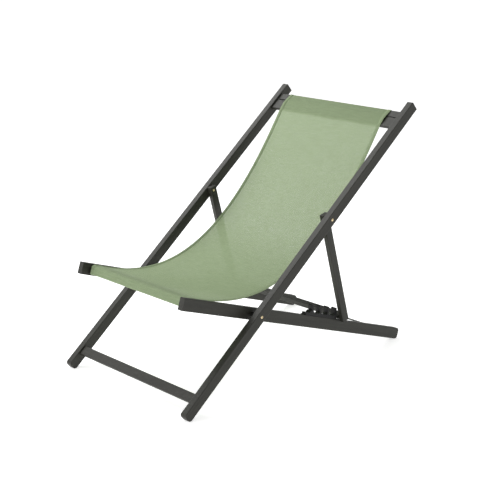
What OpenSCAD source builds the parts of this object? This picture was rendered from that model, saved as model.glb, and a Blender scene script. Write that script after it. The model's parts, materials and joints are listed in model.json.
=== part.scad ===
// Folding deck chair: a back frame, a seat frame and a prop frame, with one woven sling.
// The sitter faces -Y and +X is the sitter's left. The origin is under the middle of the chair.

/* [Stance] */
// Angle of the back rails above the floor
back_angle = 39.1; // [36:0.1:42]
// Angle at which the seat rails slope down to the rear
seat_angle = 19.05; // [17:0.05:21]
// Angle of the prop legs below the horizontal
prop_angle = 75.0; // [73:0.1:77]

/* [Back frame] */
// Overall width over the back rails
chair_width = 580; // [560:5:620]
// Thickness of a back rail, side to side
back_rail_thick = 22.5; // [20:0.5:26]
// Depth of a back rail, front to back
back_rail_depth = 32.5; // [28:0.5:38]
// Length of a back rail above the seat pivot
back_rail_up = 857; // [840:1:880]
// Length of a back rail below the seat pivot
back_rail_down = 373; // [360:1:385]
// Rounding of the back rails' lower ends
foot_round = 11; // [8:0.5:14]
// Chamfer of the back rails' top ends
top_chamfer = 1.5; // [1:0.5:6]
// Distance from the seat pivot to the top edge of the top rail
top_rail_top = 818; // [810:0.5:825]
// Height of the top rail along the back rails
top_rail_height = 67; // [60:0.5:68]
// Thickness of the top rail and of the foot stretcher
slat_thick = 11; // [10:0.5:16]
// Setback of the top rail's face from the back rails' fronts
top_rail_setback = 6.25; // [5:0.25:9]
// Distance from the top rail's top edge to its slot
slot_from_top = 27; // [24:0.5:30]
// Width of the sling slots
slot_width = 4.5; // [4:0.25:5]
// Distance from the seat pivot down to the foot stretcher
stretcher_down = 296; // [290:1:310]
// Height of the foot stretcher along the back rails
stretcher_height = 30; // [24:1:36]
// Setback of the foot stretcher's face from the back rails' fronts
stretcher_setback = 5.25; // [3:0.25:9]

/* [Seat frame] */
// Thickness of a seat rail, side to side
seat_rail_thick = 19; // [17:0.5:20]
// Depth of a seat rail, top to bottom
seat_rail_depth = 37.25; // [36:0.25:39]
// Length of a seat rail in front of the seat pivot
seat_rail_front = 276.5; // [270:0.5:282]
// Length of a seat rail behind the seat pivot
seat_rail_back = 700; // [690:1:706]
// Rounding of the seat rails' rear ends
heel_round = 12; // [8:0.5:14]
// Setback of the front bar from the seat rails' front ends
front_bar_setback = 31; // [28:0.5:34]
// Height of the front bar
front_bar_height = 25; // [22:0.5:28]
// Depth of the front bar, front to back
front_bar_depth = 36; // [34:0.5:40]
// Distance from the seat pivot to the rear rod
rear_rod_back = 670; // [655:1:675]
// Diameter of the rear rod
rear_rod_diameter = 5.5; // [5:0.5:10]

/* [Prop frame] */
// Thickness of a prop leg, side to side
prop_leg_thick = 17; // [15:0.5:17]
// Width of a prop leg
prop_leg_width = 25.5; // [22:0.5:28]
// Distance from the seat pivot up to the prop pivot
prop_pivot_up = 378.5; // [375:0.5:382]
// Length of a prop leg above its pivot
prop_leg_above = 13; // [12:0.5:15]
// Length of a prop leg below its pivot
prop_leg_below = 362; // [360:0.5:363]
// Distance from the prop pivot to the crossbar's middle
crossbar_down = 348.5; // [348:0.25:349]
// Side of the square crossbar
crossbar_side = 18; // [16:0.5:18]

/* [Notched racks] */
// Distance from the seat pivot to a rack's front end
rack_front = 230; // [226:1:234]
// Distance from the seat pivot to a rack's rear end
rack_back = 425; // [415:1:440]
// Number of teeth
tooth_count = 4; // [3:1:4]
// Spacing of the teeth
tooth_pitch = 36; // [34:0.5:36]
// Thickness of a tooth
tooth_thick = 7; // [5:0.5:8]
// Height of a tooth above the seat rail
tooth_height = 36; // [24:1:38]
// Height of the notches' floor above the seat rail
notch_floor = 10; // [2:0.5:12]
// Forward lean of a tooth
tooth_lean = 17; // [10:1:19]

/* [Sling] */
// Width of the sling
sling_width = 448; // [440:1:452]
// Width of the sling's tail in the front bar's slot
sling_tail_width = 424; // [416:1:428]
// Width of the sling's tail in the top rail's slot
sling_hem_width = 436; // [428:1:440]
// Thickness of the sling
sling_thick = 0.8; // [0.6:0.1:0.9]
// Angle at which the sling dips from the front bar's top
front_dip = 2.7; // [0:0.1:6]
// Length over which the sling keeps that direction
front_pull = 369; // [340:1:400]
// Angle at which the sling meets the top rail's face
top_dip = 18; // [14:0.5:22]
// Length over which the sling keeps that direction
top_pull = 364; // [340:1:380]

/* [Hardware] */
// Diameter of the pivot bolts
bolt_diameter = 6; // [5:0.5:6]
// Diameter of a bolt head
bolt_head_diameter = 9; // [8:0.5:12]
// Diameter of a bolt spacer
spacer_diameter = 13; // [11:0.5:16]

/* [Hidden] */
$fn = 64;

wood = [0.25, 0.25, 0.24];
black = [0.08, 0.08, 0.08];
brass = [0.72, 0.60, 0.36];
steel = [0.45, 0.45, 0.46];
cloth = [0.60, 0.68, 0.53];

// Clearances
bore_gap = 0.05;   // radial, between a pin and its bore
side_gap = 0.75;   // between a prop leg and the rails beside it
wrap_gap = 0.2;    // between the sling and the wood it passes
edge_round = 2;    // eased long edges of the wood
wrap_round = 2.5;  // edges that the sling passes over
foot_cut = 1;      // how much of each rounded foot is planed flat

// Sideways places of the rails
back_outer = chair_width / 2;
back_inner = back_outer - back_rail_thick;
prop_outer = back_inner - side_gap;
prop_inner = prop_outer - prop_leg_thick;
seat_outer = prop_inner - side_gap;
seat_inner = seat_outer - seat_rail_thick;

// Height and place of the seat pivot, from the rounded feet and the chair's front and rear ends
foot_along = foot_round - back_rail_down;
foot_off = back_rail_depth / 2 - foot_round;
pivot_z = foot_round - foot_cut - foot_along * sin(back_angle) + foot_off * cos(back_angle);
chair_front = foot_along * cos(back_angle) - foot_off * sin(back_angle) - foot_round;
top_corner = [back_rail_up, top_chamfer - back_rail_depth / 2];
chair_rear = top_corner.x * cos(back_angle) - top_corner.y * sin(back_angle);
pivot_y = -(chair_front + chair_rear) / 2;

// Places along the frames: [along the rails from the pivot, off the rails' middle]
top_face = back_rail_depth / 2 - top_rail_setback;
top_back = top_face - slat_thick;
top_rail_low = top_rail_top - top_rail_height;
top_slot = top_rail_top - slot_from_top;
top_slot_half = back_inner - 6.5;
stretcher_face = back_rail_depth / 2 - stretcher_setback;
bar_front = front_bar_setback - seat_rail_front;
bar_back = bar_front + front_bar_depth;
bar_top = front_bar_height / 2;
bar_slot = bar_back - 10.5;
bar_slot_half = sling_tail_width / 2 + 4;
rail_top = seat_rail_depth / 2;

// Hem battens: stadium strips that the sling's hems loop around
batten_round = 1;
batten_half = 5;
batten_lift = 1.5 * wrap_gap + sling_thick + batten_round;
loop_radius = batten_round + sling_thick / 2 + wrap_gap / 2;
over_radius = loop_radius + sling_thick + wrap_gap;
top_batten_mid = top_slot - slot_width / 2 - 8;
front_batten_mid = bar_slot - slot_width / 2 - 8.5;

// ---- Frames of reference ----

module back_place() {
    translate([0, pivot_y, pivot_z]) rotate([back_angle, 0, 0]) children();
}

module seat_place() {
    translate([0, pivot_y, pivot_z]) rotate([-seat_angle, 0, 0]) children();
}

module prop_place() {
    back_place() translate([0, prop_pivot_up, 0])
        rotate([-prop_angle - back_angle, 0, 0]) children();
}

module above_floor() {
    intersection() {
        children();
        translate([-chair_width, -2000, 0]) cube([2 * chair_width, 4000, 2000]);
    }
}

// Extrudes a side outline across the chair, between two sideways places
module across(from, to) {
    translate([from, 0, 0]) rotate([90, 0, 90]) linear_extrude(to - from) children();
}

module both_sides() {
    children();
    mirror([1, 0, 0]) children();
}

module side_pin(from, to, diameter) {
    translate([from, 0, 0]) rotate([0, 90, 0]) cylinder(d = diameter, h = to - from);
}

// ---- Timber ----

module rounded_rectangle(x0, x1, y0, y1, r) {
    translate([x0 + r, y0]) square([x1 - x0 - 2 * r, y1 - y0]);
    translate([x0, y0 + r]) square([x1 - x0, y1 - y0 - 2 * r]);
    for (x = [x0 + r, x1 - r], y = [y0 + r, y1 - r]) translate([x, y]) circle(r);
}

// A rail that runs along Y, with eased long edges, cut to a side outline
module eased_rail(from, to, depth, y0, y1) {
    intersection() {
        across(from, to) children();
        translate([0, y1, 0]) rotate([90, 0, 0]) linear_extrude(y1 - y0)
            rounded_rectangle(from, to, -depth / 2, depth / 2, edge_round);
    }
}

// Side outline of a back rail: rounded at the foot, chamfered at the top
module back_rail_outline() {
    half = back_rail_depth / 2;
    translate([-back_rail_down, -half + foot_round])
        square([foot_round, back_rail_depth - 2 * foot_round]);
    for (side = [-1, 1]) translate([foot_along, side * foot_off]) circle(foot_round);
    polygon([
        [foot_along, -half], [back_rail_up - top_chamfer, -half],
        [back_rail_up, -half + top_chamfer], [back_rail_up, half - top_chamfer],
        [back_rail_up - top_chamfer, half], [foot_along, half],
    ]);
}

module back_rail() {
    color(wood) above_floor() back_place() difference() {
        eased_rail(back_inner, back_outer, back_rail_depth, -back_rail_down, back_rail_up)
            back_rail_outline();
        side_pin(back_inner - 1, back_outer + 1, bolt_diameter + 2 * bore_gap);
        translate([0, prop_pivot_up, 0])
            side_pin(back_inner - 1, back_outer + 1, bolt_diameter + 2 * bore_gap);
        top_rail_dowel_places() slat_dowel(bore_gap);
        stretcher_dowel_places() slat_dowel(bore_gap);
    }
}

module seat_rail_outline() {
    half = seat_rail_depth / 2;
    translate([-seat_rail_front, -half])
        square([seat_rail_front + seat_rail_back - heel_round, seat_rail_depth]);
    translate([0, -half + heel_round]) square([seat_rail_back, seat_rail_depth - 2 * heel_round]);
    for (side = [-1, 1])
        translate([seat_rail_back - heel_round, side * (half - heel_round)]) circle(heel_round);
}

module seat_rail() {
    color(wood) above_floor() seat_place() difference() {
        eased_rail(seat_inner, seat_outer, seat_rail_depth, -seat_rail_front, seat_rail_back)
            seat_rail_outline();
        side_pin(seat_inner - 1, seat_outer + 1, bolt_diameter + 2 * bore_gap);
        bar_dowel_places() bar_dowel(bore_gap);
        translate([0, rear_rod_back, 0])
            side_pin(seat_inner - 1, seat_inner + rod_depth, rear_rod_diameter + 2 * bore_gap);
        rack_screw_places() side_pin(-1, screw_length + 0.5, screw_diameter + 2 * bore_gap);
    }
}

module prop_leg() {
    color(wood) prop_place() difference() {
        eased_rail(prop_inner, prop_outer, prop_leg_width, -prop_leg_above, prop_leg_below)
            translate([-prop_leg_above, -prop_leg_width / 2])
                square([prop_leg_above + prop_leg_below, prop_leg_width]);
        side_pin(prop_inner - 1, prop_outer + 1, bolt_diameter + 2 * bore_gap);
        side_pin(prop_inner - 1, prop_inner + nut_recess, nut_diameter + 4 * bore_gap);
        crossbar_dowel_places() crossbar_dowel(bore_gap);
    }
}

// ---- Cross members ----

dowel_diameter = 6;
dowel_into_rail = 12;
dowel_into_slat = 16;
dowel_end_gap = 0.5;
dowel_from_edge = 8;
rail_dowel_low = 16;    // above the top rail's lower edge
rail_dowel_high = 13;   // below its top edge

// A dowel across a joint face at x = 0, or its bore when a gap is given
module dowel(diameter, into_slat, into_rail, gap) {
    side_pin(-into_slat - gap * 10, into_rail + gap * 10, diameter + 2 * gap);
}

module slat_dowel(gap = 0) {
    dowel(dowel_diameter, dowel_into_slat, dowel_into_rail, gap);
}

module top_rail_dowel_places() {
    for (along = [top_rail_low + rail_dowel_low, top_rail_top - rail_dowel_high])
        translate([back_inner, along, (top_face + top_back) / 2]) children();
}

module stretcher_dowel_places() {
    for (along = [dowel_from_edge, stretcher_height - dowel_from_edge])
        translate([back_inner, -stretcher_down - along, stretcher_face - slat_thick / 2]) children();
}

module top_rail() {
    color(wood) back_place() difference() {
        across(-back_inner, back_inner)
            rounded_rectangle(top_rail_low, top_rail_top, top_back, top_face, wrap_round);
        translate([-top_slot_half, top_slot - slot_width / 2, top_back - 1])
            cube([2 * top_slot_half, slot_width, slat_thick + 2]);
        both_sides() top_rail_dowel_places() slat_dowel(bore_gap);
    }
}

module foot_stretcher() {
    color(wood) back_place() difference() {
        across(-back_inner, back_inner) rounded_rectangle(
            -stretcher_down - stretcher_height, -stretcher_down,
            stretcher_face - slat_thick, stretcher_face, edge_round);
        both_sides() stretcher_dowel_places() slat_dowel(bore_gap);
    }
}

module top_rail_dowels() {
    color(wood) back_place() both_sides() top_rail_dowel_places() slat_dowel();
}

module foot_stretcher_dowels() {
    color(wood) back_place() both_sides() stretcher_dowel_places() slat_dowel();
}

bar_dowel_diameter = 8;

module bar_dowel(gap = 0) {
    dowel(bar_dowel_diameter, dowel_into_slat, dowel_into_rail, gap);
}

module bar_dowel_places() {
    for (along = [bar_front + dowel_from_edge, bar_back - dowel_from_edge]) translate([seat_inner, along, 0]) children();
}

module front_bar() {
    color(wood) seat_place() difference() {
        across(-seat_inner, seat_inner)
            rounded_rectangle(bar_front, bar_back, -bar_top, bar_top, wrap_round);
        translate([-bar_slot_half, bar_slot - slot_width / 2, -bar_top - 1])
            cube([2 * bar_slot_half, slot_width, front_bar_height + 2]);
        both_sides() bar_dowel_places() bar_dowel(bore_gap);
    }
}

module front_bar_dowels() {
    color(wood) seat_place() both_sides() bar_dowel_places() bar_dowel();
}

crossbar_dowel_diameter = 5;
crossbar_dowel_off = 4.5;

module crossbar_dowel(gap = 0) {
    dowel(crossbar_dowel_diameter, dowel_into_slat, dowel_into_rail - 2, gap);
}

module crossbar_dowel_places() {
    for (along = [-crossbar_dowel_off, crossbar_dowel_off])
        translate([prop_inner, crossbar_down + along, 0]) children();
}

module prop_crossbar() {
    half = crossbar_side / 2;
    color(wood) prop_place() difference() {
        across(-prop_inner, prop_inner)
            rounded_rectangle(crossbar_down - half, crossbar_down + half, -half, half, edge_round);
        both_sides() crossbar_dowel_places() crossbar_dowel(bore_gap);
    }
}

module prop_crossbar_dowels() {
    color(wood) prop_place() both_sides() crossbar_dowel_places() crossbar_dowel();
}

rod_depth = 10;

module rear_rod() {
    reach = seat_inner + rod_depth - dowel_end_gap;
    color(black) seat_place() translate([0, rear_rod_back, 0])
        side_pin(-reach, reach, rear_rod_diameter);
}

// ---- Notched racks ----

rack_floor = 1.2;       // plate on top of the seat rail, under the crossbar
rack_side = 0.5;        // how far the rack stays inside the seat rail's faces
flange_thick = 3;       // flange on the seat rail's inner face
flange_depth = 18;
block_height = 8.5;     // low block at the front end
block_length = 16;
block_slope = 4;
buttress_height = 16;   // step in front of the first tooth
last_tooth = 372;       // foot of the rearmost tooth, just in front of the crossbar
tooth_fillet = 4;       // where a tooth meets the notch floor
screw_diameter = 3.5;
screw_length = 14;
screw_head_diameter = 7;
screw_head_height = 2;
recess_width = 1;
recess_depth = 1.2;
recess_reach = 2.1;     // from the middle to the end of an arm of the cross

first_tooth = last_tooth - (tooth_count - 1) * tooth_pitch;

// Shift of a leaning tooth at a height above the seat rail
function lean(height) = -height * tan(tooth_lean);

// One leaning tooth, with a corner piece in front or behind where it meets the notch floor
module tooth_outline(front, rear) {
    half = tooth_thick / 2;
    rise = tooth_height - half;
    sunk = notch_floor - tooth_fillet / 2;
    high = notch_floor + tooth_fillet;
    out = 1.5 * tooth_fillet;
    polygon(concat(
        [[-half, 0], [half, 0]],
        rear ? [[half + lean(sunk) + out, sunk], [half + lean(high), high]] : [],
        [[half + lean(rise), rise], [-half + lean(rise), rise]],
        front ? [[-half + lean(high), high], [-half + lean(sunk) - out, sunk]] : []));
    translate([lean(rise), rise]) circle(half);
}

module comb_outline() {
    translate([rack_front, 0]) square([rack_back - rack_front, rack_floor]);
    translate([first_tooth, 0]) square([last_tooth - first_tooth, notch_floor]);
    for (i = [0 : tooth_count - 1])
        translate([first_tooth + i * tooth_pitch, 0]) tooth_outline(i > 0, i < tooth_count - 1);
    polygon([
        [rack_front, 0], [rack_front, block_height], [rack_front + block_length, block_height],
        [rack_front + block_length + block_slope, buttress_height],
        [first_tooth + lean(buttress_height), buttress_height], [first_tooth, 0],
    ]);
}

module rack() {
    seated = rail_top + bore_gap;
    color(black) seat_place() difference() {
        union() {
            translate([0, 0, seated])
                across(seat_inner + rack_side, seat_outer - rack_side) comb_outline();
            translate([seat_inner - flange_thick, rack_front, seated - flange_depth])
                cube([flange_thick - bore_gap, rack_back - rack_front, flange_depth + rack_floor]);
            translate([seat_inner - flange_thick, rack_front, seated])
                cube([flange_thick + 2 * rack_side, rack_back - rack_front, rack_floor]);
        }
        rack_screw_places() side_pin(-flange_thick - 1, 1, screw_diameter + 2 * bore_gap);
    }
}

module rack_screw_places() {
    for (along = [rack_front + 15, (rack_front + rack_back) / 2, rack_back - 15])
        translate([seat_inner, along, rail_top - 9]) children();
}

// A screw with a cross recess in its head
module rack_screw() {
    top = -flange_thick - screw_head_height;
    difference() {
        union() {
            side_pin(-flange_thick, screw_length, screw_diameter);
            side_pin(top, -flange_thick, screw_head_diameter);
        }
        for (turn = [0, 90]) rotate([turn, 0, 0])
            translate([top - 1, -recess_width / 2, -recess_reach])
                cube([recess_depth + 1, recess_width, 2 * recess_reach]);
    }
}

module rack_screws() {
    color(steel) seat_place() both_sides() rack_screw_places() rack_screw();
}

// ---- Pivot hardware ----

nut_diameter = 9;
nut_recess = 3.2;
nut_depth = 2;          // a nut's cylinder, under its dome
nut_dome = 1.4;
head_height = 2.2;
socket_depth = 1.4;
socket_diameter = 3.4;
spacer_play = 0.25;
washer_diameter = 16;
head_root = 0.2;        // how deep a domed head is joined to its shank
nut_bore_end = 0.4;     // how far a nut's bore goes into its dome
seat_bolt_past = 1.8;   // end of a seat pivot bolt, past the seat rail's inner face
seat_nut_past = 2.1;    // dome of a seat pivot nut, past the seat rail's inner face
prop_bolt_short = 1;    // end of a prop pivot bolt, short of the prop leg's inner face

// A low domed head that stands on the plane x = 0 and points outwards
module domed_head(diameter, height) {
    radius = (pow(diameter / 2, 2) + pow(height, 2)) / (2 * height);
    intersection() {
        translate([height - radius, 0, 0]) rotate([0, 90, 0]) sphere(radius);
        side_pin(0, height, diameter);
    }
}

// A bolt whose head rests on the back rail's outer face
module pivot_bolt(inner_end) {
    difference() {
        union() {
            side_pin(inner_end, back_outer + head_root, bolt_diameter);
            translate([back_outer + bore_gap, 0, 0]) domed_head(bolt_head_diameter, head_height);
        }
        translate([back_outer + head_height - socket_depth, 0, 0]) rotate([0, 90, 0])
            cylinder(d = socket_diameter, h = head_height, $fn = 6);
    }
}

// A domed nut on the plane x = 0, with its blind bore open towards +X
module domed_nut() {
    difference() {
        mirror([1, 0, 0]) union() {
            side_pin(-nut_depth, head_root, nut_diameter);
            domed_head(nut_diameter, nut_dome);
        }
        side_pin(-nut_bore_end, nut_depth + 1, bolt_diameter + 2 * bore_gap);
    }
}

module seat_pivot_bolts() {
    color(brass) back_place() both_sides() pivot_bolt(seat_inner - seat_bolt_past);
}

module seat_pivot_nuts() {
    color(brass) back_place() both_sides()
        translate([seat_inner - seat_nut_past, 0, 0]) domed_nut();
}

module seat_pivot_spacers() {
    color(black) back_place() both_sides() difference() {
        side_pin(seat_outer + spacer_play, back_inner - spacer_play, spacer_diameter);
        side_pin(seat_outer - 1, back_inner + 1, bolt_diameter + 2 * bore_gap);
    }
}

module prop_pivot_place() {
    back_place() translate([0, prop_pivot_up, 0]) children();
}

module prop_pivot_bolts() {
    color(brass) prop_pivot_place() both_sides() pivot_bolt(prop_inner + prop_bolt_short);
}

module prop_pivot_nuts() {
    color(brass) prop_pivot_place() both_sides()
        translate([prop_inner + prop_bolt_short, 0, 0]) domed_nut();
}

module prop_pivot_washers() {
    color(black) prop_pivot_place() both_sides() difference() {
        side_pin(prop_outer + bore_gap, back_inner - bore_gap, washer_diameter);
        side_pin(prop_outer - 1, back_inner + 1, bolt_diameter + 2 * bore_gap);
    }
}

// ---- Sling ----

// Side view points, measured from the seat pivot, of places along the back and seat frames
function on_back(p) = [
    p.x * cos(back_angle) - p.y * sin(back_angle), p.x * sin(back_angle) + p.y * cos(back_angle)];
function on_seat(p) = [
    p.x * cos(seat_angle) + p.y * sin(seat_angle), -p.x * sin(seat_angle) + p.y * cos(seat_angle)];
function polar(r, a) = r * [cos(a), sin(a)];
function arc(centre, r, from, to, steps = 6) =
    [for (i = [0 : steps]) centre + polar(r, from + (to - from) * i / steps)];
function bezier(p, t) = pow(1 - t, 3) * p[0] + 3 * pow(1 - t, 2) * t * p[1]
    + 3 * (1 - t) * pow(t, 2) * p[2] + pow(t, 3) * p[3];
function unit(v) = v / norm(v);
function turned(v) = [-v.y, v.x];

// Direction of the outward normal of a line that touches two circles on their left side
function touching(c1, r1, c2, r2) =
    atan2(c2.y - c1.y, c2.x - c1.x) + acos((r1 - r2) / norm(c2 - c1));

// Path moved sideways by d, with mitred corners
function beside(path, d) = [
    for (i = [0 : len(path) - 1])
        let (last = len(path) - 1,
             before = unit(path[max(i, 1)] - path[max(i, 1) - 1]),
             after = unit(path[min(i, last - 1) + 1] - path[min(i, last - 1)]),
             mitre = turned(unit(before + after)))
        path[i] + mitre * d / (mitre * turned(before))
];
function reversed(path) = [for (i = [len(path) - 1 : -1 : 0]) path[i]];

wrap = wrap_gap + sling_thick / 2;
corner = wrap_round + wrap;

// Front end, in the seat frame: hem loop, slot, underside, front edge, top
bar_edge_top = [bar_front + wrap_round, bar_top - wrap_round];
bar_edge_low = [bar_front + wrap_round, -bar_edge_top.y];
front_loop = [front_batten_mid - batten_half, bar_top + batten_lift];
front_lift = bar_top + batten_lift + over_radius;
front_touch = touching(bar_edge_top, corner, front_loop, over_radius);
tail_end = [(bar_front + bar_slot) / 2, -bar_top - wrap];
front_tail = concat(
    [[front_batten_mid + batten_half, front_loop.y + loop_radius]],
    arc(front_loop, loop_radius, 90, 270),
    [[bar_slot, bar_top + wrap], [bar_slot, -bar_top - wrap], tail_end]);
front_wrap = concat(
    [tail_end],
    arc(bar_edge_low, corner, 270, 180),
    arc(bar_edge_top, corner, 180, front_touch),
    arc(front_loop, over_radius, front_touch, 90, 3));
leave_front = [bar_slot + 5, front_lift];

// Top end, in the back frame: lower edge of the rail, hem loop, top edge, slot
rail_edge_low = [top_rail_low + wrap_round, top_face - wrap_round];
rail_edge_top = [top_rail_top - wrap_round, top_face - wrap_round];
rail_edge_back = [rail_edge_top.x, top_back + wrap_round];
top_loop = [top_batten_mid - batten_half, top_face + batten_lift];
top_loop_end = [top_batten_mid + batten_half, top_loop.y];
low_touch = touching(rail_edge_low, corner, top_loop, over_radius);
high_touch = touching(top_loop_end, over_radius, rail_edge_top, corner);
reach_top = rail_edge_low + polar(corner, 90 + top_dip);
hem_start = [(rail_edge_top.x + top_slot) / 2, top_back - wrap];
top_wrap = concat(
    arc(rail_edge_low, corner, 90 + top_dip, low_touch, 2),
    arc(top_loop, over_radius, low_touch, 90, 2),
    arc(top_loop_end, over_radius, 90, high_touch, 2),
    arc(rail_edge_top, corner, high_touch, 0),
    arc(rail_edge_back, corner, 0, -90),
    [hem_start]);
top_hem = concat(
    [hem_start, [top_slot, top_back - wrap], [top_slot, top_face + wrap]],
    arc(top_loop, loop_radius, 270, 90),
    [[top_loop_end.x, top_loop.y + loop_radius]]);

// The free, sagging stretch between the front bar and the top rail
sag = [
    on_seat(leave_front),
    on_seat(leave_front + polar(front_pull, -front_dip)),
    on_back(reach_top - polar(top_pull, top_dip)),
    on_back(reach_top),
];
sag_steps = 26;

module sling_part(path, width) {
    half = sling_thick / 2;
    translate([0, pivot_y, pivot_z]) across(-width / 2, width / 2)
        polygon(concat(beside(path, half), reversed(beside(path, -half))));
}

module sling() {
    main = concat(
        [for (p = front_wrap) on_seat(p)],
        [for (i = [0 : sag_steps - 1]) bezier(sag, i / sag_steps)],
        [for (p = top_wrap) on_back(p)]);
    color(cloth) {
        sling_part(main, sling_width);
        sling_part([for (p = front_tail) on_seat(p)], sling_tail_width);
        sling_part([for (p = top_hem) on_back(p)], sling_hem_width);
    }
}

module batten(mid, lift, width) {
    across(-width / 2, width / 2) translate([mid, lift]) {
        translate([-batten_half, -batten_round]) square([2 * batten_half, 2 * batten_round]);
        for (side = [-1, 1]) translate([side * batten_half, 0]) circle(batten_round);
    }
}

module top_batten() {
    color(steel) back_place() batten(top_batten_mid, top_loop.y, sling_hem_width - 8);
}

module front_batten() {
    color(steel) seat_place() batten(front_batten_mid, front_loop.y, sling_tail_width - 8);
}

back_rail();  // back_rail_left
mirror([1, 0, 0]) back_rail();  // back_rail_right
top_rail();
foot_stretcher();
top_rail_dowels();
foot_stretcher_dowels();
top_batten();
sling();
seat_pivot_bolts();
seat_pivot_spacers();
seat_pivot_nuts();
prop_pivot_bolts();
prop_pivot_washers();
prop_pivot_nuts();
seat_rail();  // seat_rail_left
mirror([1, 0, 0]) seat_rail();  // seat_rail_right
front_bar();
front_bar_dowels();
front_batten();
rear_rod();
rack();  // rack_left
mirror([1, 0, 0]) rack();  // rack_right
rack_screws();
prop_leg();  // prop_leg_left
mirror([1, 0, 0]) prop_leg();  // prop_leg_right
prop_crossbar();
prop_crossbar_dowels();
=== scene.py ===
"""Folding deck chair: charcoal-stained wooden frame, black notched racks and a sage green mesh sling."""
import json
import math

import bmesh
import bpy
from mathutils import Matrix, Vector, noise


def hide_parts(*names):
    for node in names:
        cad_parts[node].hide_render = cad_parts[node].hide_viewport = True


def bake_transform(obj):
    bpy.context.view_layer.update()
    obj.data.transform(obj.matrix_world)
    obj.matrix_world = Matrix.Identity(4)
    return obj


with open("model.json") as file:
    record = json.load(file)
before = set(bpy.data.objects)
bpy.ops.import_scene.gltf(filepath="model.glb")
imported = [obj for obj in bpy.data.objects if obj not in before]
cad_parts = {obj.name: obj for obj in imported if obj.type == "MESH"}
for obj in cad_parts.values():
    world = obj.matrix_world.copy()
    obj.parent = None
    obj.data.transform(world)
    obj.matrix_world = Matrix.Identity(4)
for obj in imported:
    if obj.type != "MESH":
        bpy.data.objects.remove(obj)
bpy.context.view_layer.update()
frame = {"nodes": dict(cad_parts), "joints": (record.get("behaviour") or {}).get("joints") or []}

# ---- Measures shared with the CAD model, in metres and degrees ----

JOINTS = {j["name"]: j for j in frame["joints"]}
PIVOT = Vector(JOINTS["seat_fold"]["pos_m"])
BACK_ANGLE = 39.1
SEAT_ANGLE = 19.05
PROP_ANGLE = 75.0

CLOTH = 0.0008          # thickness of the mesh
HEM_CLOTH = 0.9 * CLOTH
GAP = 0.0002            # between layers, and between cloth and wood
WIDTH = 0.448
TAIL_WIDTH = 0.424      # in the front bar's slot
HEM_WIDTH = 0.436       # in the top rail's slot
SIDE_HEM = 0.012        # width of the folded side hems
EDGE = 0.0025           # radius of the wooden edges that the sling passes over
BATTEN_HALF = 0.005     # half a batten's width between its rounded edges
BATTEN_ROUND = 0.001
SLOT = 0.0045           # width of both slots

BAR_FRONT = -0.2455     # front bar, along the seat rails
BAR_TOP = 0.0125
BAR_SLOT = BAR_FRONT + 0.0255
RAIL_TOP = 0.818        # top rail, along the back rails
RAIL_LOW = RAIL_TOP - 0.067
RAIL_FACE = 0.01
RAIL_BACK = RAIL_FACE - 0.011
RAIL_SLOT = RAIL_TOP - 0.027
FRONT_BATTEN = BAR_SLOT - SLOT / 2 - 0.0085
TOP_BATTEN = RAIL_SLOT - SLOT / 2 - 0.008

LEAVE = 0.005           # the sling leaves the front bar this far behind the slot
FRONT_DIP, FRONT_PULL = 2.7, 0.369      # how it leaves the bar
TOP_DIP, TOP_PULL = 18, 0.364           # and how it reaches the top rail
SAG_ROWS = 120


def on_back(p):
    """A point [along, off] of the back rails, as (y, z)."""
    a = math.radians(BACK_ANGLE)
    return Vector((PIVOT.y + p[0] * math.cos(a) - p[1] * math.sin(a),
                   PIVOT.z + p[0] * math.sin(a) + p[1] * math.cos(a)))


def on_seat(p):
    """A point [along, off] of the seat rails, as (y, z)."""
    a = math.radians(SEAT_ANGLE)
    return Vector((PIVOT.y + p[0] * math.cos(a) + p[1] * math.sin(a),
                   PIVOT.z - p[0] * math.sin(a) + p[1] * math.cos(a)))


# ---- Node helpers ----


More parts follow.
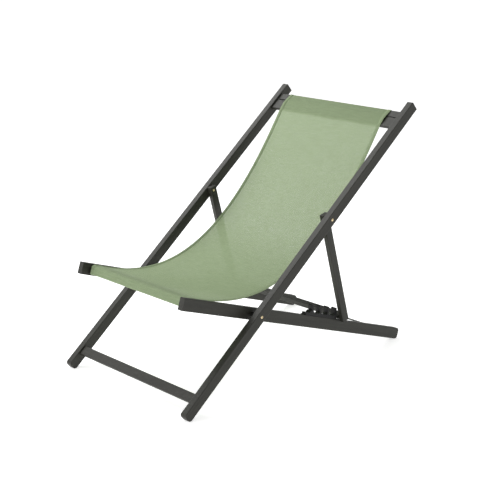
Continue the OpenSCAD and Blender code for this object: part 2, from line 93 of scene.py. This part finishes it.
class Nodes:
    """Short-hand for building one material's node tree."""

    def __init__(self, name):
        self.material = bpy.data.materials.new(name)
        self.material.use_nodes = True
        self.tree = self.material.node_tree
        self.shader = self.tree.nodes["Principled BSDF"]
        self.output = self.tree.nodes["Material Output"]

    def add(self, kind, values=None, **settings):
        node = self.tree.nodes.new(kind)
        for key, value in settings.items():
            setattr(node, key, value)
        for key, value in (values or {}).items():
            self.put(value, node.inputs[key])
        return node

    def put(self, value, socket):
        if isinstance(value, bpy.types.NodeSocket):
            self.tree.links.new(value, socket)
        else:
            socket.default_value = value

    def math(self, operation, a, b=0.0, clamp=False):
        node = self.add("ShaderNodeMath", {0: a, 1: b}, operation=operation)
        node.use_clamp = clamp
        return node.outputs[0]

    def noise(self, where, scale, detail=3.0, rough=0.5):
        values = {"Vector": where, "Scale": scale, "Detail": detail, "Roughness": rough}
        return self.add("ShaderNodeTexNoise", values).outputs["Fac"]

    def ramp(self, value, stops):
        node = self.add("ShaderNodeValToRGB", {"Fac": value})
        ramp = node.color_ramp
        while len(ramp.elements) < len(stops):
            ramp.elements.new(0.5)
        for element, (place, colour) in zip(ramp.elements, stops):
            element.position = place
            element.color = (*colour, 1)
        return node.outputs["Color"]

    def mix(self, factor, a, b):
        node = self.add("ShaderNodeMix", data_type="RGBA")
        self.put(factor, node.inputs["Factor"])
        self.put(a, node.inputs[6])
        self.put(b, node.inputs[7])
        return node.outputs[2]

    def spread(self, value, low, high):
        """A 0 to 1 value, spread from low to high."""
        return self.math("ADD", self.math("MULTIPLY", value, high - low), low)

    def object_space(self, along=None, stretch=(1, 1, 1)):
        """Object coordinates turned so that Z runs along a direction, then stretched."""
        place = self.add("ShaderNodeTexCoord").outputs["Object"]
        if along is not None:
            turn = Vector(along).rotation_difference(Vector((0, 0, 1))).to_euler()
            place = self.add("ShaderNodeMapping", {"Vector": place, "Rotation": turn}).outputs[0]
        return self.add("ShaderNodeMapping", {"Vector": place, "Scale": stretch}).outputs[0]

    def bump(self, height, distance, strength=1.0, below=None):
        values = {"Height": height, "Distance": distance, "Strength": strength}
        if below is not None:
            values["Normal"] = below
        return self.add("ShaderNodeBump", values).outputs["Normal"]

    def edge_wear(self, radius):
        """1 on a worn edge, 0 on a flat face."""
        bevel = self.add("ShaderNodeBevel", {"Radius": radius}, samples=4)
        plain = self.add("ShaderNodeNewGeometry").outputs["Normal"]
        turned = self.add("ShaderNodeVectorMath", {0: bevel.outputs[0], 1: plain},
                          operation="DOT_PRODUCT").outputs["Value"]
        return self.math("MULTIPLY", self.math("SUBTRACT", 1.0, turned), 6.0, clamp=True)


def rgb(*values):
    """A colour without transparency."""
    return (*values, 1.0)


# ---- Materials ----


def stained_wood(name, along, seed):
    """Opaque charcoal stain over planed wood: the grain shows as fine ridges and a faint change of tone."""
    n = Nodes(name)
    shift = n.add("ShaderNodeVectorMath", {0: n.object_space(along), 1: (seed, seed * 0.7, seed * 1.3)},
                  operation="ADD").outputs[0]
    fibre_place = n.add("ShaderNodeMapping", {"Vector": shift, "Scale": (1, 1, 0.025)}).outputs[0]
    figure_place = n.add("ShaderNodeMapping", {"Vector": shift, "Scale": (1, 1, 0.07)}).outputs[0]
    fibre = n.noise(fibre_place, 900, 4, 0.65)
    figure = n.noise(figure_place, 95, 3, 0.6)
    cloud = n.noise(shift, 9, 2)
    tone = n.math("ADD", n.math("MULTIPLY", figure, 0.5), n.math("MULTIPLY", fibre, 0.5))
    colour = n.ramp(tone, [(0.30, (0.010, 0.010, 0.0068)), (0.52, (0.021, 0.021, 0.0150)),
                           (0.72, (0.037, 0.036, 0.0270))])
    colour = n.mix(n.math("MULTIPLY", cloud, 0.35), colour, rgb(0.017, 0.0175, 0.0140))
    pores = n.ramp(n.noise(fibre_place, 1700, 2), [(0.60, (0, 0, 0)), (0.70, (1, 1, 1))])
    colour = n.mix(n.math("MULTIPLY", pores, 0.35), colour, rgb(0.011, 0.011, 0.009))
    worn = n.math("MULTIPLY", n.edge_wear(0.0022), n.noise(shift, 60, 3))
    colour = n.mix(n.math("MULTIPLY", worn, 0.40), colour, rgb(0.080, 0.077, 0.068))
    n.put(colour, n.shader.inputs["Base Color"])
    n.put(n.spread(fibre, 0.42, 0.62), n.shader.inputs["Roughness"])
    n.shader.inputs["Specular IOR Level"].default_value = 0.38
    ridges = n.bump(fibre, 0.00025, 0.7)
    n.put(n.bump(figure, 0.0006, 0.35, ridges), n.shader.inputs["Normal"])
    return n.material


def bare_wood():
    """Hardwood dowels."""
    n = Nodes("bare_wood")
    place = n.object_space((1, 0, 0), (1, 1, 0.04))
    fibre = n.noise(place, 700, 3)
    n.put(n.ramp(fibre, [(0.3, (0.36, 0.24, 0.13)), (0.7, (0.58, 0.43, 0.27))]),
          n.shader.inputs["Base Color"])
    n.shader.inputs["Roughness"].default_value = 0.6
    n.put(n.bump(fibre, 0.0002, 0.5), n.shader.inputs["Normal"])
    return n.material


def moulded_plastic(name, tone, rough):
    """Moulded plastic with a fine spark-eroded texture."""
    n = Nodes(name)
    place = n.object_space()
    grain = n.noise(place, 2600, 2)
    smear = n.noise(place, 70, 3)
    n.put(n.mix(n.math("MULTIPLY", smear, 0.6), rgb(*[tone * 0.8] * 3), rgb(*[tone * 1.5] * 3)),
          n.shader.inputs["Base Color"])
    n.put(n.spread(smear, rough - 0.08, rough + 0.12), n.shader.inputs["Roughness"])
    n.shader.inputs["Specular IOR Level"].default_value = 0.22
    n.put(n.bump(grain, 0.00012, 0.6), n.shader.inputs["Normal"])
    return n.material


def metal(name, colour, rough, streak_along=None):
    """Plated or brushed metal with faint streaks and smudges."""
    n = Nodes(name)
    place = n.object_space(streak_along, (1, 1, 0.02) if streak_along else (1, 1, 1))
    streak = n.noise(place, 1500, 3)
    smudge = n.noise(n.object_space(), 160, 3)
    dark = rgb(*[c * 0.72 for c in colour])
    n.put(n.mix(n.math("MULTIPLY", smudge, 0.7), rgb(*colour), dark), n.shader.inputs["Base Color"])
    n.shader.inputs["Metallic"].default_value = 1.0
    n.put(n.spread(smudge, rough - 0.06, rough + 0.14), n.shader.inputs["Roughness"])
    n.put(n.bump(streak, 0.00005, 0.5), n.shader.inputs["Normal"])
    return n.material


def powder_coat():
    """Black powder coat on the steel rod: a fine orange-peel skin."""
    n = Nodes("powder_coat")
    place = n.object_space()
    peel = n.noise(place, 900, 2)
    n.put(n.mix(peel, rgb(0.010, 0.010, 0.011), rgb(0.022, 0.022, 0.023)), n.shader.inputs["Base Color"])
    n.put(n.spread(peel, 0.30, 0.45), n.shader.inputs["Roughness"])
    n.put(n.bump(peel, 0.0002, 0.4), n.shader.inputs["Normal"])
    return n.material


WARP_PITCH = 0.00125    # spacing of the yarns that run along the sling
WEFT_PITCH = 0.00135    # and of those that run across it
SEAT_OPEN, BACK_OPEN = 0.36, 0.62       # how wide the openings of the weave are
SOFT_RIM = 0.35         # how gradually an opening starts
CLEAR = 0.6             # how much an opening lets through
SAGE = [(0.230, 0.300, 0.162), (0.312, 0.394, 0.229), (0.390, 0.475, 0.292)]     # dark, middle, light


def yarns(n, across, pitch):
    """Height profile of parallel round yarns: 1 on a yarn's crown, 0 midway between two."""
    wave = n.math("MULTIPLY", across, math.pi / pitch)
    return n.math("ABSOLUTE", n.math("SINE", wave))


def plain_weave(n, u, v, warp, weft):
    """Heights of warp and weft: which yarn is on top changes from crossing to crossing."""
    column = n.math("FLOOR", n.math("DIVIDE", u, WARP_PITCH))
    row = n.math("FLOOR", n.math("DIVIDE", v, WEFT_PITCH))
    turn = n.math("ABSOLUTE", n.math("MODULO", n.math("ADD", column, row), 2.0))
    return (n.math("MULTIPLY", warp, n.spread(turn, 0.72, 1.0)),
            n.math("MULTIPLY", weft, n.spread(n.math("SUBTRACT", 1.0, turn), 0.72, 1.0)))


def melange(n, uv, weft_on_top, height, tone):
    """Colour of the yarns: single yarns and short slubs are lighter or darker than their neighbours, and
    painted shade darkens the yarns towards the gaps between them.
    """
    def streaks(stretch, scale, detail, rough):
        place = n.add("ShaderNodeMapping", {"Vector": uv, "Scale": stretch}).outputs[0]
        return n.noise(place, scale, detail, rough)

    warp_tone = streaks((1, 0.02, 1), 620, 2, 0.7)
    weft_tone = streaks((0.03, 1, 1), 560, 2, 0.7)
    slub = streaks((0.16, 1, 1), 190, 3, 0.6)
    cloud = n.noise(uv, 7, 2)
    picked = n.mix(weft_on_top, warp_tone, weft_tone)
    fine = n.math("ADD", n.math("MULTIPLY", picked, 0.55), n.math("MULTIPLY", slub, 0.45))
    dark, mid, light = [tuple(c * tone for c in shade) for shade in SAGE]
    colour = n.ramp(fine, [(0.25, dark), (0.50, mid), (0.75, light)])
    colour = n.mix(n.math("MULTIPLY", cloud, 0.25), colour, rgb(*[c * 0.93 for c in mid]))
    # painted shade: the colour darkens where the yarns dip into the gaps between them
    painted_weave_shade = n.math("MULTIPLY", n.math("SUBTRACT", 1.0, height), 0.55)
    return n.mix(painted_weave_shade, colour, rgb(*[c * 0.55 for c in dark]))


def openings(n, v, warp, weft, openness):
    """How clear the cloth is. The weave is tighter in the seat than in the back.

    Back faces are all clear, so that what enters an opening also leaves by the sheet's other face.
    """
    toward_back = n.ramp(v, [(0.48, (0, 0, 0)), (0.66, (1, 1, 1))])
    width = n.spread(toward_back, SEAT_OPEN * openness, BACK_OPEN * openness)
    depth = n.math("SUBTRACT", width, n.math("MAXIMUM", warp, weft))
    hole = n.math("MULTIPLY", n.math("DIVIDE", depth, SOFT_RIM, clamp=True), CLEAR)
    return n.math("MAXIMUM", hole, n.add("ShaderNodeNewGeometry").outputs["Backfacing"])


def mesh_cloth(name, tone=1.0, openness=1.0):
    """Open plain weave of coated two-tone yarns. Its UV map is in metres, u across and v along the sling."""
    n = Nodes(name)
    uv = n.add("ShaderNodeUVMap", uv_map="cloth").outputs["UV"]
    split = n.add("ShaderNodeSeparateXYZ", {"Vector": uv})
    u, v = split.outputs["X"], split.outputs["Y"]
    warp, weft = yarns(n, u, WARP_PITCH), yarns(n, v, WEFT_PITCH)
    warp_up, weft_up = plain_weave(n, u, v, warp, weft)
    height = n.math("MAXIMUM", warp_up, weft_up)
    colour = melange(n, uv, n.math("GREATER_THAN", weft_up, warp_up), height, tone)
    n.put(colour, n.shader.inputs["Base Color"])
    n.put(n.spread(height, 0.78, 0.60), n.shader.inputs["Roughness"])
    n.shader.inputs["Specular IOR Level"].default_value = 0.10
    n.shader.inputs["Sheen Weight"].default_value = 0.04
    n.put(n.bump(height, 0.00035, 0.8), n.shader.inputs["Normal"])
    # light comes through the thin yarns, and the weave is open between them
    through = n.add("ShaderNodeBsdfTranslucent", {"Color": colour})
    thin = n.add("ShaderNodeMixShader", {0: 0.18, 1: n.shader.outputs[0], 2: through.outputs[0]})
    hole = openings(n, v, warp, weft, openness)
    clear = n.add("ShaderNodeBsdfTransparent")
    seen = n.add("ShaderNodeMixShader", {0: hole, 1: thin.outputs[0], 2: clear.outputs[0]})
    n.tree.links.new(seen.outputs[0], n.output.inputs["Surface"])
    return n.material


def thread():
    """Matte green sewing thread."""
    n = Nodes("sewing_thread")
    twist = n.noise(n.object_space(), 2200, 2)
    n.put(n.mix(twist, rgb(0.24, 0.31, 0.19), rgb(0.34, 0.42, 0.27)), n.shader.inputs["Base Color"])
    n.shader.inputs["Roughness"].default_value = 0.75
    n.put(n.bump(twist, 0.0001, 0.5), n.shader.inputs["Normal"])
    return n.material


def dress_cad_nodes():
    """Gives every CAD node that stays in sight its material, with the grain along its length."""
    def slope(angle):
        a = math.radians(angle)
        return (0, math.cos(a), math.sin(a))

    across = (1, 0, 0)
    grain = {
        "back_rail_left": slope(BACK_ANGLE), "back_rail_right": slope(BACK_ANGLE),
        "seat_rail_left": slope(-SEAT_ANGLE), "seat_rail_right": slope(-SEAT_ANGLE),
        "prop_leg_left": slope(-PROP_ANGLE), "prop_leg_right": slope(-PROP_ANGLE),
        "top_rail": across, "foot_stretcher": across, "front_bar": across, "prop_crossbar": across,
    }
    finishes = {node: stained_wood("stained_" + node, along, seed)
                for seed, (node, along) in enumerate(grain.items())}
    plastic = moulded_plastic("rack_plastic", 0.009, 0.42)
    nylon = moulded_plastic("nylon", 0.014, 0.5)
    brass = metal("brass_plate", (0.82, 0.68, 0.42), 0.34)
    zinc = metal("zinc_plate", (0.52, 0.53, 0.54), 0.36)
    aluminium = metal("mill_aluminium", (0.72, 0.73, 0.74), 0.34, (1, 0, 0))
    dowel = bare_wood()
    finishes.update({
        "rack_left": plastic, "rack_right": plastic, "rack_screws": zinc, "rear_rod": powder_coat(),
        "seat_pivot_spacers": nylon, "prop_pivot_washers": nylon,
        "seat_pivot_bolts": brass, "seat_pivot_nuts": brass,
        "prop_pivot_bolts": brass, "prop_pivot_nuts": brass,
        "top_batten": aluminium, "front_batten": aluminium,
        "top_rail_dowels": dowel, "foot_stretcher_dowels": dowel,
        "front_bar_dowels": dowel, "prop_crossbar_dowels": dowel,
    })
    for node, finish in finishes.items():
        obj = frame["nodes"][node]
        obj.data.materials.clear()
        obj.data.materials.append(finish)


# ---- Sling ----

TAIL_ROWS = 14          # rows of the path in each tail: batten, loop and slot
BAR_ROWS = 30           # rows around the front bar
RAIL_ROWS = 32          # rows around the top rail
STITCH_PITCH, STITCH_LENGTH, THREAD_RADIUS = 0.0045, 0.0035, 0.00028
SEAM_IN = 0.0025        # from the side hem's inner edge to the seam
SPINDLE = ((-0.5, 0.0), (-0.4, 0.75), (0.0, 1.0), (0.4, 0.75), (0.5, 0.0))     # place, thickness


def arc(centre, radius, start, end, steps=10):
    """Points on an arc, angles in degrees."""
    points = []
    for i in range(steps + 1):
        a = math.radians(start + (end - start) * i / steps)
        points.append(Vector((centre[0] + radius * math.cos(a), centre[1] + radius * math.sin(a))))
    return points


def touching(c1, r1, c2, r2):
    """Angle of the outward normal of the line that touches both circles on their left."""
    d = Vector(c2) - Vector(c1)
    return math.degrees(math.atan2(d.y, d.x) + math.acos((r1 - r2) / d.length))


def sling_path():
    """The sling's middle line as (y, z) points from front hem to top hem, and how free each one hangs."""
    wrap = GAP + CLOTH / 2
    corner = EDGE + wrap
    lift = 1.5 * GAP + CLOTH + BATTEN_ROUND
    loop = BATTEN_ROUND + CLOTH / 2 + GAP / 2
    over = loop + CLOTH + GAP

    edge_top = (BAR_FRONT + EDGE, BAR_TOP - EDGE)
    edge_low = (BAR_FRONT + EDGE, EDGE - BAR_TOP)
    near = (FRONT_BATTEN - BATTEN_HALF, BAR_TOP + lift)
    touch = touching(edge_top, corner, near, over)
    front = [Vector((FRONT_BATTEN + BATTEN_HALF, near[1] + loop))]
    front += arc(near, loop, 90, 270)
    front += [Vector((BAR_SLOT, BAR_TOP + wrap)), Vector((BAR_SLOT, -BAR_TOP - wrap))]
    front += arc(edge_low, corner, 270, 180) + arc(edge_top, corner, 180, touch)
    front += arc(near, over, touch, 90, 4)
    front = [on_seat(p) for p in front]

    leave = Vector((BAR_SLOT + LEAVE, BAR_TOP + lift + over))
    rail_low = (RAIL_LOW + EDGE, RAIL_FACE - EDGE)
    rail_top = (RAIL_TOP - EDGE, RAIL_FACE - EDGE)
    rail_back = (RAIL_TOP - EDGE, RAIL_BACK + EDGE)
    low_loop = (TOP_BATTEN - BATTEN_HALF, RAIL_FACE + lift)
    high_loop = (TOP_BATTEN + BATTEN_HALF, RAIL_FACE + lift)
    low_touch = touching(rail_low, corner, low_loop, over)
    high_touch = touching(high_loop, over, rail_top, corner)
    top = arc(rail_low, corner, 90 + TOP_DIP, low_touch, 4)
    top += arc(low_loop, over, low_touch, 90, 3) + arc(high_loop, over, 90, high_touch, 3)
    top += arc(rail_top, corner, high_touch, 0) + arc(rail_back, corner, 0, -90)
    top += [Vector((RAIL_SLOT, RAIL_BACK - wrap)), Vector((RAIL_SLOT, RAIL_FACE + wrap))]
    top += arc(low_loop, loop, 270, 90) + [Vector((high_loop[0], high_loop[1] + loop))]
    reach = top[0]
    top = [on_back(p) for p in top]

    dip, rise = math.radians(FRONT_DIP), math.radians(TOP_DIP)
    b = [on_seat(leave),
         on_seat(leave + FRONT_PULL * Vector((math.cos(dip), -math.sin(dip)))),
         on_back(reach - TOP_PULL * Vector((math.cos(rise), math.sin(rise)))),
         top[0]]
    sag = []
    for i in range(SAG_ROWS):
        t = i / SAG_ROWS
        sag.append((1 - t) ** 3 * b[0] + 3 * (1 - t) ** 2 * t * b[1]
                   + 3 * (1 - t) * t ** 2 * b[2] + t ** 3 * b[3])
    hanging = [math.sin(math.pi * i / SAG_ROWS) for i in range(SAG_ROWS)]
    free = [0.0] * len(front) + hanging + [0.0] * len(top)
    return front + sag + top, free


def lengths(path):
    """How far along the path each of its points is."""
    total, out = 0.0, [0.0]
    for a, b in zip(path, path[1:]):
        total += (b - a).length
        out.append(total)
    return out


def normals(path):
    """Unit normals on the left of the path, which is the sitter's side."""
    out = []
    for i in range(len(path)):
        d = path[min(i + 1, len(path) - 1)] - path[max(i - 1, 0)]
        out.append(Vector((-d.y, d.x)).normalized())
    return out


def sling_line():
    """The sling's path, how free it hangs, how far along each point is, and the normals."""
    path, free = sling_path()
    return path, free, lengths(path), normals(path)


def half_width(i, rows):
    """Half the cloth's width at a row: both tails are cut narrower, to pass the slots."""
    if i < TAIL_ROWS:
        return TAIL_WIDTH / 2
    if i >= rows - TAIL_ROWS:
        return HEM_WIDTH / 2
    return WIDTH / 2


def ripple(x, along, free):
    """Small unevenness of the hanging cloth, out of its plane."""
    slow = noise.noise(Vector((x * 5, along * 4, 3.1)))
    puckers = noise.noise(Vector((x * 26, along * 3, 7.7)))
    near_ends = (1 - free) ** 3
    return free ** 0.5 * (0.0012 * slow + 0.0003 * puckers * near_ends)


def cloth_mesh(name, rows, material, thickness):
    """A closed thin sheet from rows of (point, normal, u, v)."""
    count, span = len(rows), len(rows[0])
    verts, uvs = [], []
    for side in (0.5, -0.5):
        for row in rows:
            for point, normal, u, v in row:
                verts.append(point + normal * thickness * side)
                uvs.append((u, v))
    faces = []
    layer = count * span

    def edge_face(a, b, flip):
        quad = [a, b, b + layer, a + layer]
        faces.append(quad[::-1] if flip else quad)

    for r in range(count - 1):
        for c in range(span - 1):
            a = r * span + c
            quad = [a, a + 1, a + span + 1, a + span]
            faces.append(quad)
            faces.append([q + layer for q in reversed(quad)])
    for r in range(count - 1):
        edge_face(r * span, (r + 1) * span, False)
        edge_face((r + 1) * span - 1, (r + 2) * span - 1, True)
    for c in range(span - 1):
        edge_face(c, c + 1, True)
        edge_face(layer - span + c, layer - span + c + 1, False)
    mesh = bpy.data.meshes.new(name)
    mesh.from_pydata([tuple(p) for p in verts], [], faces)
    layer_uv = mesh.uv_layers.new(name="cloth")
    for loop in mesh.loops:
        layer_uv.data[loop.index].uv = uvs[loop.vertex_index]
    mesh.materials.append(material)
    for face in mesh.polygons:
        face.use_smooth = True
    mesh.validate()
    mesh.update()
    obj = bpy.data.objects.new(name, mesh)
    bpy.context.collection.objects.link(obj)
    return obj


def build_sling():
    """The whole cloth, from hem loop to hem loop."""
    path, free, run, side = sling_line()
    columns = 44
    rows = []
    for i, (p, n) in enumerate(zip(path, side)):
        half = half_width(i, len(path))
        row = []
        for c in range(columns + 1):
            x = half * (2 * c / columns - 1)
            out = ripple(x, run[i], free[i])
            row.append((Vector((x, p.x + n.x * out, p.y + n.y * out)), Vector((0, n.x, n.y)), x, run[i]))
        rows.append(row)
    cloth = cloth_mesh("sling_cloth", rows, mesh_cloth("sage_mesh"), CLOTH)
    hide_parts("sling")
    return cloth, run[-1]


def build_side_hem(name, sign, material):
    """A side hem: the cloth's edge folded over onto the sitter's side."""
    path, free, run, side = sling_line()
    up = CLOTH + GAP / 2
    fold = [(WIDTH / 2 - SIDE_HEM, up, 90), (WIDTH / 2 - SIDE_HEM / 2, up, 90), (WIDTH / 2, up, 90)]
    for a in (60, 30, 0, -30, -60, -90):
        t = math.radians(a)
        fold.append((WIDTH / 2 + up / 2 * math.cos(t), up / 2 + up / 2 * math.sin(t), a))
    rows = []
    for i in range(TAIL_ROWS, len(path) - TAIL_ROWS):
        p, n = path[i], side[i]
        row = []
        for k, (x, out, a) in enumerate(fold):
            out += ripple(x * sign, run[i], free[i])
            t = math.radians(a)
            normal = Vector((sign * math.cos(t), n.x * math.sin(t), n.y * math.sin(t)))
            row.append((Vector((x * sign, p.x + n.x * out, p.y + n.y * out)), normal,
                        sign * (x + 0.0003 * k), run[i]))
        rows.append(row if sign > 0 else list(reversed(row)))
    hem = cloth_mesh(name, rows, material, HEM_CLOTH)
    return hem


def add_stitch(mesh, x, middle, out, base, face):
    """A stitch on one face of the cloth: thread that is thick in the middle and pointed at both ends."""
    along = Vector((out.y, -out.x))
    circle = [(math.cos(math.radians(a)), math.sin(math.radians(a))) for a in range(0, 360, 60)]
    rings = []
    for s, thick in SPINDLE:
        r = THREAD_RADIUS * thick
        c = middle + along * (s * STITCH_LENGTH) + out * (base + face * THREAD_RADIUS * (0.5 * thick - 0.2))
        points = [(x + r * u, c.x + out.x * r * v, c.y + out.y * r * v) for u, v in circle]
        rings.append([mesh.verts.new(p) for p in (points if thick else points[:1])])
    sides = range(len(circle))
    for a, b in zip(rings, rings[1:]):
        for k in sides:
            m = (k + 1) % len(sides)
            if len(a) == 1:
                mesh.faces.new((a[0], b[m], b[k]))
            elif len(b) == 1:
                mesh.faces.new((a[k], a[m], b[0]))
            else:
                mesh.faces.new((a[k], a[m], b[m], b[k]))


def build_stitches(name, sign, material):
    """Lock stitches along a side hem, seen on both faces of the cloth."""
    path, free, run, side = sling_line()
    first, last = TAIL_ROWS + BAR_ROWS, len(path) - TAIL_ROWS - RAIL_ROWS
    x = sign * (WIDTH / 2 - SIDE_HEM + SEAM_IN)
    mesh = bmesh.new()
    at, i = run[first], first
    while at + STITCH_LENGTH < run[last]:
        centre = at + STITCH_LENGTH / 2
        while run[i + 1] < centre:
            i += 1
        share = (centre - run[i]) / (run[i + 1] - run[i])
        middle = path[i].lerp(path[i + 1], share)
        out = side[i].lerp(side[i + 1], share).normalized()
        ease = ripple(x, centre, free[i] + (free[i + 1] - free[i]) * share)
        add_stitch(mesh, x, middle, out, ease + CLOTH * 1.45 + GAP / 2, 1)
        add_stitch(mesh, x, middle, out, ease - CLOTH / 2, -1)
        at += STITCH_PITCH
    bmesh.ops.recalc_face_normals(mesh, faces=mesh.faces)
    data = bpy.data.meshes.new(name)
    mesh.to_mesh(data)
    mesh.free()
    for face in data.polygons:
        face.use_smooth = True
    data.materials.append(material)
    obj = bpy.data.objects.new(name, data)
    bpy.context.collection.objects.link(obj)
    return obj


def blend_over_fold(piece):
    """Bakes the piece's placement into its mesh."""
    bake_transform(piece)


# ---- Studio ----


def studio_floor():
    """A white floor that glows a little, so that it stays white in the picture."""
    bpy.ops.mesh.primitive_plane_add(size=60, location=(0, 0, -0.0002))
    floor = bpy.context.object
    floor.name = "studio_floor"
    n = Nodes("studio_white")
    n.put(n.mix(n.noise(n.object_space(), 3, 2), rgb(0.90, 0.90, 0.90), rgb(0.93, 0.93, 0.93)),
          n.shader.inputs["Base Color"])
    n.shader.inputs["Roughness"].default_value = 0.9
    n.shader.inputs["Emission Color"].default_value = rgb(1, 1, 1)
    n.shader.inputs["Emission Strength"].default_value = 0.60
    floor.data.materials.append(n.material)


def surroundings():
    """White near the horizon and grey overhead."""
    world = bpy.data.worlds.new("studio")
    bpy.context.scene.world = world
    world.use_nodes = True
    tree = world.node_tree
    place = tree.nodes.new("ShaderNodeTexCoord")
    split = tree.nodes.new("ShaderNodeSeparateXYZ")
    fade = tree.nodes.new("ShaderNodeValToRGB")
    for element, height, grey in zip(fade.color_ramp.elements, (0.22, 0.36), (1, 0.44)):
        element.position, element.color = height, rgb(grey, grey, grey)
    tree.links.new(place.outputs["Generated"], split.inputs[0])
    tree.links.new(split.outputs["Z"], fade.inputs["Fac"])
    tree.links.new(fade.outputs["Color"], tree.nodes["Background"].inputs["Color"])


def softbox(name, place, aim, size, power):
    """A square lamp, aimed at a point."""
    light = bpy.data.lights.new(name, "AREA")
    light.shape = "SQUARE"
    light.size = size
    light.energy = power
    lamp = bpy.data.objects.new(name, light)
    bpy.context.collection.objects.link(lamp)
    lamp.location = place
    lamp.rotation_euler = (Vector(aim) - Vector(place)).to_track_quat("-Z", "Y").to_euler()


def studio():
    """Floor and surroundings, and two lamps on the picture's left: one in front and one high up."""
    studio_floor()
    surroundings()
    softbox("key_light", (-1.2, -3.4, 1.9), (0, 0, 0.35), 2.4, 38)
    softbox("side_light", (-2.3, -0.25, 3.05), (0, 0, 0.4), 2.6, 92)
    bpy.context.scene.view_settings.view_transform = "Standard"


LENS = 91.416           # mm, on a sensor of 36 mm
CAMERA_AT = Vector((2.7210, -2.3052, 1.1764))      # from the seat pivot
CAMERA_HEADING, CAMERA_DOWN, CAMERA_TILT = 47.457, 15.287, -0.63


def camera():
    """Seen from the front and the sitter's left, from a little above the chair."""
    data = bpy.data.cameras.new("camera")
    data.lens = LENS
    data.sensor_width = 36
    data.clip_start, data.clip_end = 0.05, 100
    cam = bpy.data.objects.new("camera", data)
    bpy.context.collection.objects.link(cam)
    turn = (Matrix.Rotation(math.radians(CAMERA_TILT), 4, "X")
            @ Matrix.Rotation(math.radians(CAMERA_HEADING), 4, "Z")
            @ Matrix.Rotation(math.radians(90 - CAMERA_DOWN), 4, "X"))
    cam.matrix_world = Matrix.Translation(PIVOT + CAMERA_AT) @ turn
    bpy.context.scene.camera = cam


def main():
    """Materials, sling with its hems and stitches, studio and camera."""
    dress_cad_nodes()
    sling, length = build_sling()
    hem_cloth, sewing = mesh_cloth("sage_hem", 1.02, 0.8), thread()
    trims = []
    for word, sign in (("left", 1), ("right", -1)):
        trims.append(build_side_hem("sling_hem_" + word, sign, hem_cloth))
        trims.append(build_stitches("sling_stitches_" + word, sign, sewing))
    for piece in [sling] + trims:
        blend_over_fold(piece)
    studio()
    camera()


main()
